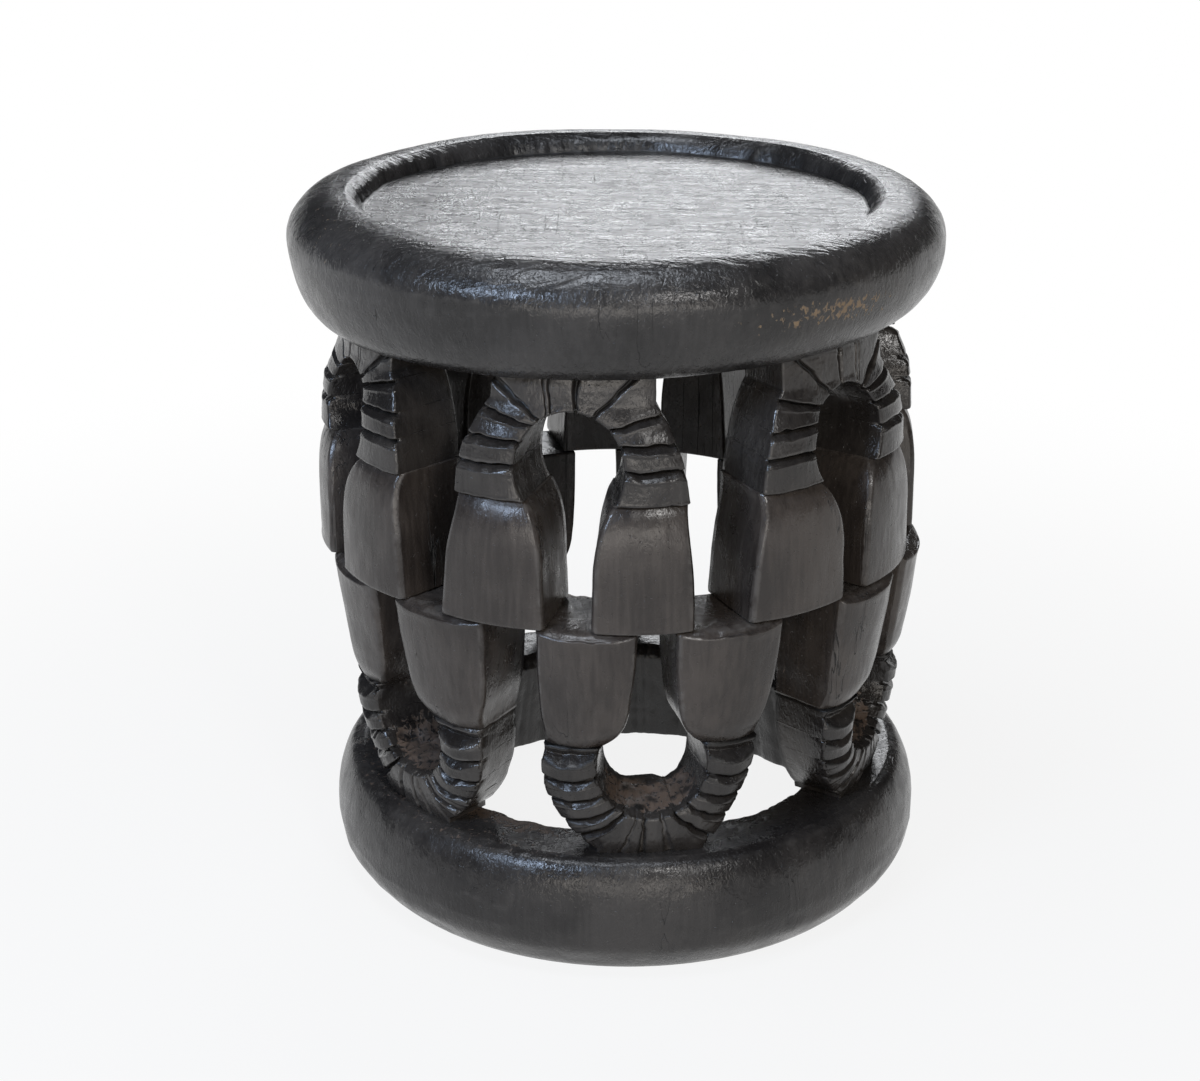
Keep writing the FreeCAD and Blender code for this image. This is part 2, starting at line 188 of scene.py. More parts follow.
# %% Lower tier
lower_tier = {
    "name": "lower_gong",
    "up": -1,
    "front_angle": math.radians(6.0),
    "strays": (0.0, 0.0, 0.017, 0.03, 0.033, 0.067),
    "reaches": (
        (0.95, 0.94, 1.05, 1.05),
        (1.0, 0.94, 0.95, 1.02),
        (1.1, 1.0, 0.9, 1.0),
        (1.85, 0.99, 1.85, 0.97),
        (0.9, 1.02, 1.0, 0.98),
        (1.0, 1.0, 1.0, 1.05),
    ),
    "shift": 5 * mm,
    "collar": lower_collar_level,
    "crown": ring_height,
    "collar_radius": 196 * mm,
    "front_rows": ((0.0, 196), (0.3, 193.5), (0.5, 190.5), (0.72, 187), (1.0, 183)),
    "collar_rows": (
        (0.0, 5.5, 0.0), (2.0, 6.4, 0.0), (4.0, 7.4, 0.0), (5.2, 8.0, 0.0), (5.5, 8.0, 0.7),
        (6.0, 7.7, 0.1), (7.5, 6.0, 0.0), (9.5, 3.6, 0.0), (11.4, 1.4, 0.0),
        (12.4, 0.2, -0.2), (13.0, 0.0, -0.3), (13.8, 0.0, 0.0),
    ),
    "sink": 1.5 * mm,
    "front_bow": 3.8 * mm,
    "mouth_radius": 206 * mm,
    "neck_radius": 190.5 * mm,
    "reach": 73.5 * mm,
    "foot_share": 0.52,
    "leans": ((-0.03, 0.07), (0.02, 0.03), (0.03, 0.01), (0.02, 0.02), (0.0, 0.04), (0.03, 0.0)),
    "arch_centre": 147 * mm,
    "hole": 37 * mm,
    "hole_centre": 144.5 * mm,
    "saddle": 11 * mm,
    "sag": 2.2 * mm,
    "bell_inner": 12.5 * mm,
    "bell_outer": 83 * mm,
    "neck_inner": 31 * mm,
    "neck_outer": 71 * mm,
    "leg_bow": 5.5 * mm,
    "bevel_depth": 4.8 * mm,
    "bevel_height": 5.2 * mm,
    "bell_shares": (
        (0.0, 0.0, 0.0, 0.0),
        (0.32, 0.04, 0.12, 0.2),
        (0.56, 0.15, 0.3, 0.38),
        (0.74, 0.26, 0.52, 0.52),
        (0.87, 0.48, 0.78, 0.66),
        (0.95, 0.74, 0.93, 0.85),
        (1.0, 1.0, 1.0, 1.0),
    ),
    "grooves": (
        ((0.304, 0.18), (0.493, 0.321), (0.652, 0.461), (0.745, 0.575)),
        ((0.304, 0.18), (0.493, 0.321), (0.652, 0.461), (0.79, 0.625)),
    ),
    "fans": (
        ((0.86, 0.87, 1.6, 1.2), (0.935, 0.96, 1.7, 3.4)),
        ((0.9, 0.92, 2.6, 1.8),),
    ),
}
print("lower arches are", round(2 * lower_tier["hole"] / mm), "mm wide")

# %% [markdown]
# ## Helpers
#
# A carved surface is never quite smooth. Blender's noise textures could push
# it about with a Displace modifier, but here the noise is worked out with
# numpy, because then the same numbers can also tell the material where the
# wood is bare. The noise hashes whole-number lattice points, so it gives the
# same result on every run.

# %% Noise for carving
def hashed(ix, iy, iz, seed):
    """A steady pseudo-random number from -1 to 1 for each lattice point."""
    mixed = (ix * 73856093) ^ (iy * 19349663) ^ (iz * 83492791) ^ (seed * 2654435761)
    mixed = (mixed ^ (mixed >> 13)) * 1274126177
    mixed = mixed & 0xFFFFFFFF
    mixed = (mixed ^ (mixed >> 16)) & 0xFFFF
    return mixed / 32767.5 - 1.0


def noise(points, grain, seed):
    """Smooth noise from about -1 to 1 at the points; grain is its size along x, y and z."""
    scaled = points / np.asarray(grain, dtype=float)
    base = np.floor(scaled).astype(np.int64)
    part = scaled - base
    part = part * part * (3 - 2 * part)
    total = np.zeros(len(points))
    for dx in (0, 1):
        for dy in (0, 1):
            for dz in (0, 1):
                weight = (
                    np.abs(1 - dx - part[:, 0])
                    * np.abs(1 - dy - part[:, 1])
                    * np.abs(1 - dz - part[:, 2])
                )
                total += weight * hashed(base[:, 0] + dx, base[:, 1] + dy, base[:, 2] + dz, seed)
    return total


def layered(points, layers, unit=mm):
    """Sum of noises, each given as (height in mm, lift, grain in units, seed)."""
    return sum(
        height * mm * (noise(points, np.multiply(grain, unit), seed) + lift)
        for height, lift, grain, seed in layers
    )


def ramp(values, low, high):
    """Smooth step from 0 below low to 1 above high."""
    share = np.clip((values - low) / (high - low), 0, 1)
    return share * share * (3 - 2 * share)


probe = noise(np.random.default_rng(1).uniform(0, 1, (2000, 3)), (0.1, 0.1, 0.1), 3)
print("noise runs from", round(probe.min(), 2), "to", round(probe.max(), 2))

# %% [markdown]
# Most members are made in the same way: a closed section, pushed along and
# reshaped at each step, as an editor would extrude a face and scale it. The
# helper below does that with the extrude operator. The steps are only a
# millimetre or so long, so that each groove has its own rows of faces and the
# skin can still be dented point by point afterwards.

# %% Loft by extruding an outline
def loft(sections):
    """A closed bmesh through sections, lists of points in the same order."""
    bm = bmesh.new()
    ring = [bm.verts.new(p) for p in sections[0]]
    count = len(ring)
    edges = [bm.edges.new((ring[i], ring[(i + 1) % count])) for i in range(count)]
    first = list(ring)
    for section in sections[1:]:
        made = bmesh.ops.extrude_edge_only(bm, edges=edges)["geom"]
        fresh = {item for item in made if isinstance(item, bmesh.types.BMVert)}
        partners = []
        for vert in ring:
            partners.append(next(e.other_vert(vert) for e in vert.link_edges if e.other_vert(vert) in fresh))
        for vert, place in zip(partners, section):
            vert.co = place
        edges = [bm.edges.get((partners[i], partners[(i + 1) % count])) for i in range(count)]
        ring = partners
    bm.faces.new(first)
    bm.faces.new(ring)
    bmesh.ops.recalc_face_normals(bm, faces=bm.faces)
    return bm


def to_object(bm, name):
    mesh = bpy.data.meshes.new(name)
    bm.to_mesh(mesh)
    bm.free()
    piece = bpy.data.objects.new(name, mesh)
    bpy.context.scene.collection.objects.link(piece)
    return piece


# %% Arrays in and out of a mesh
def read_points(mesh):
    """Places and normals of a mesh's vertices as two arrays."""
    count = len(mesh.vertices)
    points = np.empty(count * 3)
    normals = np.empty(count * 3)
    mesh.vertices.foreach_get("co", points)
    mesh.vertex_normals.foreach_get("vector", normals)
    return points.reshape(-1, 3), normals.reshape(-1, 3)


def write_points(mesh, points):
    mesh.vertices.foreach_set("co", points.ravel())
    mesh.update()


def keep_attribute(mesh, name, values):
    """Stores one number for each vertex, for the material to read."""
    layer = mesh.attributes.new(name, "FLOAT", "POINT")
    layer.data.foreach_set("value", values.astype(np.float32))


def keep_hollows(mesh, rounds):
    """Stores how deep each vertex lies in a groove (above 0) or on an edge (below 0)."""
    points, normals = read_points(mesh)
    ends = np.empty(len(mesh.edges) * 2, dtype=np.int64)
    mesh.edges.foreach_get("vertices", ends)
    here = np.concatenate([ends[0::2], ends[1::2]])
    there = np.concatenate([ends[1::2], ends[0::2]])
    neighbours = np.bincount(here, minlength=len(points))
    smooth = points.copy()
    for _ in range(rounds):
        for axis in range(3):
            mean = np.bincount(here, smooth[there, axis], minlength=len(points)) / neighbours
            smooth[:, axis] = (smooth[:, axis] + mean) / 2
    depth = ((smooth - points) * normals).sum(axis=1)
    keep_attribute(mesh, "hollow", np.clip(depth / (0.9 * mm), -1, 1))


# %% [markdown]
# ## Seat
#
# The seat is a thick disc with a bull-nosed edge, a rounded rim and a dish
# with a nearly flat floor. It is a turned shape, so its outline is spun round
# the axis. No lathe made it, though: the outline wanders in and out by a few
# millimetres, and the crease at the foot of the rim is ragged.

# %% Spin an outline
def smooth_curve(points, steps):
    """Catmull-Rom curve through 2-D points, with steps spans between each pair."""
    points = [Vector(p) for p in points]
    padded = [points[0] * 2 - points[1]] + points + [points[-1] * 2 - points[-2]]
    curve = []
    for a, b, c, d in zip(padded, padded[1:], padded[2:], padded[3:]):
        for step in range(steps):
            t = step / steps
            curve.append(
                0.5 * ((2 * b) + (c - a) * t + (2 * a - 5 * b + 4 * c - d) * t * t
                       + (3 * b - a - 3 * c + d) * t ** 3)
            )
    curve.append(points[-1])
    return curve


def spin_outline(outline, steps):
    """Turns an outline of (radius, level) points round the z axis."""
    bm = bmesh.new()
    verts = [bm.verts.new((p[0], 0, p[1])) for p in outline]
    edges = [bm.edges.new(pair) for pair in zip(verts, verts[1:])]
    bmesh.ops.spin(
        bm, geom=verts + edges, cent=(0, 0, 0), axis=(0, 0, 1),
        angle=math.tau, steps=steps, use_merge=True,
    )
    bmesh.ops.remove_doubles(bm, verts=bm.verts, dist=1e-6)
    bmesh.ops.recalc_face_normals(bm, faces=bm.faces)
    return bm


def ways(start, end, shares):
    return [
        (start[0] + (end[0] - start[0]) * across, start[1] + (end[1] - start[1]) * up)
        for across, up in shares
    ]


# %% Seat outline
seat_widest = (seat_radius, underside_level + seat_widest_height)
seat_side = ways(
    (underside_radius, underside_level), seat_widest,
    ((0.0, 0.0), (0.28, 0.07), (0.56, 0.23), (0.84, 0.56), (1.0, 1.0)),
)
seat_side += ways(
    seat_widest, (rim_radius, stool_height),
    ((0.05, 0.42), (0.3, 0.8), (0.62, 0.96), (1.0, 1.0)),
)
dish_floor = stool_height - dish_depth
seat_slope = ways(
    (rim_radius, stool_height), (dish_radius, dish_floor),
    ((0.35, 0.1), (0.68, 0.38), (0.88, 0.72), (1.0, 1.0)),
)
seat_outline = [(share * underside_radius, underside_level) for share in np.linspace(0, 0.985, 30)]
seat_outline += [tuple(p) for p in smooth_curve(seat_side + seat_slope, 9)]
seat_outline += [(share * dish_radius, dish_floor) for share in np.linspace(0.985, 0, 90)]
seat_spin = spin_outline(seat_outline, 420)
print("seat outline points:", len(seat_outline), "vertices:", len(seat_spin.verts))

# %% Helpers for a turned piece
def round_the_axis(points):
    """Radius and turn of each point, and its place on a unit circle, where noise has no seam."""
    around = np.arctan2(points[:, 1], points[:, 0])
    circle = np.stack([np.cos(around), np.sin(around), np.zeros(len(around))], axis=1)
    return np.hypot(points[:, 0], points[:, 1]), around, circle


def keep_within(points, limit):
    """Draws in the points that lie further than limit from the axis."""
    spread = np.hypot(points[:, 0], points[:, 1])
    points[:, :2] *= np.minimum(1, limit / np.maximum(spread, 1 * mm))[:, None]


# %% Wander of the edge, the crease and the rim
seat = to_object(seat_spin, "carved_seat")
points, normals = read_points(seat.data)
radius, around, circle = round_the_axis(points)
top_half = points[:, 2] > underside_level + 20 * mm
edge_wander = layered(circle, (
    (1.0, -0.5, (0.55, 0.55, 1), 11),
    (0.6, 0, (0.22, 0.22, 1), 12),
), unit=1)
outer_share = ramp(radius, rim_radius * 0.97, seat_radius)
points[:, :2] *= (1 + edge_wander * outer_share / np.maximum(radius, 1 * mm))[:, None]
crease_wander = layered(circle, (
    (1.8, 0, (0.14, 0.14, 1), 13),
    (1.1, 0, (0.05, 0.05, 1), 14),
    (0.5, 0, (0.015, 0.015, 1), 20),
), unit=1)
near_crease = np.exp(-((radius - dish_radius) / (6 * mm)) ** 2) * top_half
points[:, :2] *= (1 + crease_wander * near_crease / np.maximum(radius, 1 * mm))[:, None]
top_side = ramp(normals[:, 2], 0.0, 0.8) * top_half
rim_wander = 0.8 * mm * (noise(circle, (0.3, 0.3, 1), 15) - 1) * ramp(radius, dish_radius, rim_radius)
points[:, 2] += rim_wander * top_side
print("edge and crease wander, mm:", [round(np.ptp(v) / mm, 1) for v in (edge_wander, crease_wander)])

# %% [markdown]
# The floor of the dish looks flat, but it was cut with a blade and wiped for
# years. So it rises and falls in long, soft waves, whose slopes give its
# sheen. The flank has rounder dents. Both are moved points, not bump, because
# the outline and the glints have to follow them.

# %% Waves of the dish and dents of the flank
floor_part = top_side * (1 - ramp(radius, dish_radius - 8 * mm, dish_radius - 1 * mm))
swell = layered(points, (
    (0.6, 0, (75, 50, 1000), 16),
    (0.34, 0, (30, 11, 1000), 17),
    (0.16, 0, (12, 4, 1000), 21),
    (0.08, 0, (4, 1.6, 1000), 25),
))
points[:, 2] += swell * floor_part
side_part = ramp(radius, rim_radius * 0.985, rim_radius * 1.02)
dents = layered(points, (
    (0.45, -0.2, (34, 34, 22), 18),
    (0.14, 0, (8, 8, 6), 19),
    (0.06, 0, (2.4, 2.4, 2.4), 22),
))
points += normals * (dents * side_part)[:, None]
print("dish waves and flank dents, mm:", [round(np.ptp(v) / mm, 1) for v in (swell, dents)])

# %% Size of the seat and tilt of its underside
keep_within(points, seat_radius - 0.3 * mm)
points[:, 2] = np.minimum(points[:, 2], stool_height)
flank = ramp(seat_widest[1] - points[:, 2], 0, seat_widest_height)
points[:, 2] += seat_tilt * points[:, 0] / underside_radius * flank
write_points(seat.data, points)
print("seat spans", round(np.ptp(points[:, 0]) / mm, 1), "mm")

# %% Worn places of the seat
patch_turn, patch_level, patch_height = math.radians(-52), 443 * mm, 11 * mm
edge_turn, patch_spread = math.radians(-150), 0.3
front_right = np.exp(-((around - patch_turn) / patch_spread) ** 2)
level_band = np.exp(-((points[:, 2] - patch_level) / patch_height) ** 2)
left_edge = np.exp(-((around - edge_turn) / patch_spread) ** 2) * ramp(points[:, 2], 440 * mm, 462 * mm)
worn = 0.8 * front_right * level_band + 0.3 * left_edge * side_part
keep_attribute(seat.data, "bare", np.clip(worn, 0, 1))
keep_hollows(seat.data, 12)
print("most worn place of the seat:", round(worn.max(), 2))

# %% [markdown]
# ## Foot ring
#
# The ring is the same kind of spun shape, open in the middle. Its crest is
# flat under the handles and its inner edge was left rough by the adze.

# %% Ring outline
ring_widest = (ring_radius, ring_widest_height)
ring_side = ways(
    (ring_foot_radius, 0), ring_widest,
    ((0.0, 0.0), (0.31, 0.15), (0.8, 0.46), (0.96, 0.75), (1.0, 1.0)),
)
ring_side += ways(
    ring_widest, (ring_top_radius, ring_height),
    ((0.1, 0.4), (0.3, 0.7), (0.6, 0.92), (1.0, 1.0)),
)
ring_outline = [tuple(p) for p in smooth_curve(ring_side, 8)]
ring_outline += ways(
    (ring_top_radius, ring_height), (ring_top_inner_radius, ring_height),
    [(s, s) for s in np.linspace(0.04, 0.96, 22)],
)
ring_inside = [
    (ring_top_inner_radius, ring_height),
    (hollow_radius + 1.5 * mm, ring_height - ring_edge_fall * 0.35),
    (hollow_radius, ring_height - ring_edge_fall),
    ((hollow_radius + ring_inner_radius) / 2, (ring_height - ring_edge_fall) / 2),
    (ring_inner_radius, 2 * mm),
    (ring_inner_radius + 2 * mm, 0),
]
ring_outline += [tuple(p) for p in smooth_curve(ring_inside, 9)]
ring_outline += [(r, 0) for r in np.linspace(ring_inner_radius + 5 * mm, ring_foot_radius - 3 * mm, 9)]
ring_outline.append(ring_outline[0])
ring_spin = spin_outline(ring_outline, 520)
print("ring outline points:", len(ring_outline), "vertices:", len(ring_spin.verts))

# %% Wander of the ring
ring = to_object(ring_spin, "carved_base_ring")
points, normals = read_points(ring.data)
radius, _, circle = round_the_axis(points)
outside_share = ramp(radius, ring_foot_radius * 0.99, ring_radius)
wander = layered(circle, (
    (1.0, -0.5, (0.5, 0.5, 1), 31),
    (0.6, 0, (0.2, 0.2, 1), 32),
), unit=1)
points[:, :2] *= (1 + wander * outside_share / radius)[:, None]
inside_share = 1 - ramp(radius, ring_inner_radius * 0.97, ring_inner_radius * 1.08)
inner_wander = layered(circle, (
    (3.2, 0, (0.25, 0.25, 1), 33),
    (1.6, 0, (0.07, 0.07, 1), 34),
    (0.8, 0, (0.02, 0.02, 1), 39),
), unit=1)
points[:, :2] *= (1 + inner_wander * inside_share / radius)[:, None]
print("inner edge wanders by", round(np.ptp(inner_wander) / mm, 1), "mm")

# %% Dents and chips of the ring
above_floor = ramp(points[:, 2], 1 * mm, 12 * mm)
crest = ramp(normals[:, 2], 0.5, 0.95) * above_floor
rough_side = 0.35 + 0.65 * ramp(-points[:, 0], -0.06, 0.1)
dents = layered(points, (
    (0.5, -0.3, (26, 26, 20), 35),
    (0.2, 0, (9, 9, 7), 36),
))
chips = np.abs(noise(points, (11 * mm, 11 * mm, 9 * mm), 37))
chips += 0.5 * np.abs(noise(points, (4 * mm, 4 * mm, 4 * mm), 40))
chips = (chips - 0.75) * 0.9 * mm * np.maximum(inside_share, crest * rough_side * 0.8)
points += normals * ((dents + chips) * above_floor)[:, None]
keep_within(points, ring_radius - 0.2 * mm)
points[:, 2] = np.clip(points[:, 2], 0, ring_height)
points[:, 0] += ring_shift
write_points(ring.data, points)
print("ring spans", round(np.ptp(points[:, 0]) / mm, 1), "mm")

# %% Scraped places of the ring
front_left = ramp(-points[:, 0], 0, 60 * mm) * ramp(-points[:, 1], -60 * mm, 20 * mm)
scraped = (inside_share * ramp(points[:, 2], 50 * mm, 72 * mm) + 0.6 * crest) * (0.12 + 0.6 * front_left)
keep_attribute(ring.data, "bare", np.clip(scraped, 0, 1))
keep_hollows(ring.data, 12)
print("most scraped place of the ring:", round(scraped.max(), 2))

# %% [markdown]
# ## Bells
#
# A bell is narrow at the collar, swells out over a rounded shoulder and ends
# in a flat-cut mouth. Seen from above, its section is a block with a bowed
# front, a narrow facet down each front corner and side faces that point
# towards the axis. Each section below is such an outline, and the loft runs
# from the mouth to the neck. A few smaller outlines inside the mouth come
# first, so that its flat end has points that can be roughened.

# %% A curve through a table and a point on the wall
def share_curve(table, height):
    """Values of a table of shares at a height, on a smooth curve through its rows."""
    rows = np.array(table)
    heights = rows[:, 0]
    slopes = np.gradient(rows[:, 1:], heights, axis=0)
    at = min(max(np.searchsorted(heights, height) - 1, 0), len(heights) - 2)
    span = heights[at + 1] - heights[at]
    t = (height - heights[at]) / span
    low, high = rows[at, 1:], rows[at + 1, 1:]
    start, end = slopes[at] * span, slopes[at + 1] * span
    return (
        low * (2 * t ** 3 - 3 * t ** 2 + 1)
        + start * (t ** 3 - 2 * t ** 2 + t)
        + high * (3 * t ** 2 - 2 * t ** 3)
        + end * (t ** 3 - t ** 2)
    )


def on_wall(radius, angle, height, shift):
    """Points of the stool's wall from their radius, angle and height."""
    return np.stack([shift + radius * np.sin(angle), -radius * np.cos(angle), height + 0 * angle], axis=1)


# %% Section of a bell
bell_side_steps = np.linspace(0.03, 1.0, 15) ** 1.15
bell_across = np.concatenate([
    np.linspace(-1, 1, 34), np.ones(18), np.linspace(0.94, -0.94, 11), -np.ones(18),
])
bell_depth = np.concatenate([
    np.zeros(34), [-1.67, -1.33, -1], bell_side_steps, np.ones(11), bell_side_steps[::-1], [-1, -1.33, -1.67],
])


def bell_section(tier, centre, side, near_reach, far_reach, front_radius, height, shrink):
    near = (near_reach + shrink) / front_radius
    far = (far_reach - shrink) / front_radius
    middle, half = (near + far) / 2, (far - near) / 2
    facet = facet_width / front_radius / half
    on_facet = bell_depth < 0
    step = np.where(on_facet, 2 + bell_depth, 1)
    across = np.where(bell_depth == 0, bell_across * (1 - facet), bell_across)
    across = np.where(on_facet, np.sign(bell_across) * (1 - facet * (1 - step)), across)
    face = front_radius - shrink - tier["front_bow"] * np.minimum(bell_across ** 2, 1)
    cheek = front_radius - shrink - tier["front_bow"] - facet_depth
    radius = np.where(on_facet, face - facet_depth * step ** 1.3, face)
    radius = np.where(bell_depth > 0, cheek + (hollow_radius + shrink - cheek) * bell_depth, radius)
    angle = centre + side * (middle + half * across * (1 + 0.04 * np.maximum(bell_depth, 0)))
    return on_wall(radius, angle, height, tier["shift"])


print("points round a bell:", len(bell_across))


# %% Loft of a bell
def make_bell(tier, number, side):
    """Loft of a bell in its place, before it is worn."""
    near_share, far_share = tier["reaches"][number][:2] if side < 0 else tier["reaches"][number][2:]
    centre = tier["front_angle"] + (number + tier["strays"][number]) * pitch
    heights = np.concatenate([[0, 0.006, 0.014], np.linspace(0.03, 1, 54)])
    shrinks = np.concatenate([[0.8 * mm, 0.25 * mm], np.zeros(55)])
    sections = []
    for height, shrink in zip(heights, shrinks):
        inner, outer, back = share_curve(tier["bell_shares"], height)
        near_mouth = tier["bell_inner"] * near_share
        far_mouth = tier["bell_outer"] * far_share
        sections.append(
            bell_section(
                tier, centre, side,
                near_mouth + (tier["neck_inner"] - near_mouth) * inner,
                far_mouth + (tier["neck_outer"] - far_mouth) * outer,
                tier["mouth_radius"] + (tier["neck_radius"] - tier["mouth_radius"]) * back,
                mouth_level + (tier["collar"] - mouth_level) * height,
                shrink,
            )
        )
    mouth = sections[0]
    heart = mouth.mean(axis=0)
    ends = [heart + (mouth - heart) * share for share in (0.1, 0.35, 0.6, 0.78, 0.87, 0.92, 0.955, 0.98)]
    return loft(ends + sections)


# %% [markdown]
# The lower bells stand mouth up, so their flat tops show. Wear has let the
# front edge of each top fall away to a thin, bright lip.

# %% Carve the bells
lip_fall = 4.2 * mm
lip_width = 8 * mm
bells = []
for tier_seed, tier in enumerate((upper_tier, lower_tier)):
    for number in range(gongs_per_tier):
        for side, label in ((-1, "left"), (1, "right")):
            node = f"{tier['name']}_{number + 1}_{label}_bell"
            bell = to_object(make_bell(tier, number, side), "carved_" + node)
            points, normals = read_points(bell.data)
            seed = 100 + tier_seed * 50 + number * 4 + (side + 1)
            radius = np.hypot(points[:, 0] - tier["shift"], points[:, 1])
            from_mouth = np.abs(points[:, 2] - mouth_level)
            depth = ramp(from_mouth, 0.5 * mm, 4 * mm)
            push = layered(points, (
                (0.55, 0, (17, 17, 34), seed),
                (0.16, 0, (5, 5, 13), seed + 1),
                (0.07, 0, (2, 2, 6), seed + 2),
            ))
            points += normals * (push * depth)[:, None]
            if tier["up"] < 0:
                lip_radius = tier["mouth_radius"] - tier["front_bow"] / 2
                lip = np.clip(1 - (lip_radius - radius) / lip_width, 0, 1) ** 2.2
                points[:, 2] -= lip_fall * lip * (1 - ramp(from_mouth, 0, 3 * lip_fall))
                top = 1 - ramp(from_mouth, 0.2 * mm, 1.2 * mm)
                rough = noise(points, (4 * mm, 4 * mm, 9 * mm), seed + 7) - 1
                points[:, 2] += 0.45 * mm * rough * top
            write_points(bell.data, points)
            upright = ramp(np.abs(normals[:, 2]), 0.7, 0.3)
            inner_side = upright * ramp(radius, tier["mouth_radius"] - 8 * mm, 170 * mm)
            keep_attribute(bell.data, "bare", np.clip(0.3 * inner_side, 0, 1))
            keep_hollows(bell.data, 8)
            bells.append((bell, node))
print("bells:", len(bells), "triangles each about", len(bells[0][0].data.polygons) * 2)

# %% [markdown]
# ## Handles
#
# A handle is an arch with four overlapping ribs on each leg and a fan of
# grooves at its crown. Picture a ladder bent along the arch: each rung runs
# from the hole to the outside, and the section on that rung is a block with
# a bowed front. Where a rib ends, the front slopes back in a flat bevel, and
# then the rungs turn back under the lip of the next rib, which gives the dark
# undercut. A flat bevel on a bowed face shows as a crescent. Sculpting could
# do it too, but a ladder keeps every groove where it was measured.

# %% Outlines of the arch
def hole_length(tier):
    low = math.asin(abs(tier["hole_centre"] - tier["collar"]) / tier["hole"])
    return tier["hole"] * (math.pi / 2 + low)


def outer_length(tier):
    return abs(tier["arch_centre"] - tier["collar"]) + tier["reach"] * math.pi / 2


def hole_point(tier, share):
    """Points round the hole, from the collar (0) to the middle of the crown (1)."""
    turn = math.pi / 2 - (1 - share) * hole_length(tier) / tier["hole"]
    return tier["hole"] * np.cos(turn), tier["hole_centre"] + tier["up"] * tier["hole"] * np.sin(turn)


def outer_point(tier, share, lean):
    """Points on the outside of the arch, which ends in an upright foot on the crown."""
    straight = abs(tier["arch_centre"] - tier["collar"])
    foot = tier["foot_share"] * tier["reach"]
    foot_turn = math.acos(tier["foot_share"])
    foot_share = (straight + foot_turn * tier["reach"]) / outer_length(tier)
    run = share * outer_length(tier)
    turn = np.clip((run - straight) / tier["reach"], 0, foot_turn)
    across = tier["reach"] * np.cos(turn) * (1 - lean * np.sin(math.pi * np.clip(share / foot_share, 0, 1)))
    height = tier["arch_centre"] + tier["up"] * tier["reach"] * np.sin(turn)
    height = np.where(run < straight, tier["collar"] + tier["up"] * run, height)
    stop = tier["crown"] + tier["up"] * tier["sink"]
    past = np.clip((share - foot_share) / (1 - foot_share), 0, 1)
    across = np.where(past > 0, np.interp(past, (0, 0.25, 1), (foot, foot, 0)), across)
    foot_height = tier["arch_centre"] + tier["up"] * tier["reach"] * math.sin(foot_turn)
    return across, np.where(past > 0, np.interp(past, (0, 0.25, 1), (foot_height, stop, stop)), height)


print("way round the outside, mm:", [round(outer_length(tier) / mm) for tier in (upper_tier, lower_tier)])

# %% A rung of the ladder
corner = np.radians([12, 32, 55, 78])
side_steps = np.concatenate([[0.03, 0.05, 0.075, 0.105, 0.14], np.linspace(0.19, 0.97, 11)])
rung_across = np.concatenate([
    np.linspace(0.045, 0.955, 36), 0.955 + 0.045 * np.sin(corner), np.ones(16),
    np.linspace(0.95, 0.05, 9), np.zeros(16), 0.045 * (1 - np.sin(corner[::-1])),
])
rung_depth = np.concatenate([
    np.zeros(36), 0.03 * (1 - np.cos(corner)), side_steps,
    np.ones(9), side_steps[::-1], 0.03 * (1 - np.cos(corner[::-1])),
])
rung_fall = np.exp(-rung_depth / 0.07)


def rung(tier, centre, side, lean, place, bevel, slot, wobble):
    """Section on one rung. Bevel and slot are the two cuts in its front."""
    hole_share, outer_share = place
    middle = 4 * rung_across * (1 - rung_across)
    slide = (tier["sag"] * middle * (1 - ramp(hole_share, 0.7, 0.85)) + wobble) * rung_fall
    hole_across, hole_height = hole_point(tier, hole_share + slide / hole_length(tier))
    out_across, out_height = outer_point(tier, outer_share + slide / outer_length(tier), lean)
    width = np.hypot(out_across - hole_across, out_height - hole_height)
    wrap = (0.55 * slot + 0.3 * bevel) * rung_fall / width
    across_share = rung_across + (0.5 - rung_across) * 2 * wrap * (rung_depth > 0)
    across = hole_across + (out_across - hole_across) * across_share
    height = hole_height + (out_height - hole_height) * across_share
    crown_part = ramp(hole_share, 0.5, 0.95)
    height = height - tier["up"] * tier["saddle"] * rung_depth ** 0.8 * (1 - rung_across) * crown_part
    stop = tier["crown"] + tier["up"] * tier["sink"]
    height = np.minimum(height, stop) if tier["up"] > 0 else np.maximum(height, stop)
    rows = np.array(tier["front_rows"])
    level = np.abs(height - tier["collar"]) / abs(tier["crown"] - tier["collar"])
    face = np.interp(level, rows[:, 0], rows[:, 1] * mm)
    bow = tier["leg_bow"] * (2 * rung_across - 1) ** 2 * (1 - 0.7 * ramp(hole_share, 0.6, 0.85))
    front = face - (np.maximum(bow, bevel) + slot) * rung_fall - bow * (1 - rung_fall)
    radius = front + (hollow_radius - front) * rung_depth
    return on_wall(radius, centre + side * across / tier["collar_radius"], height, tier["shift"])


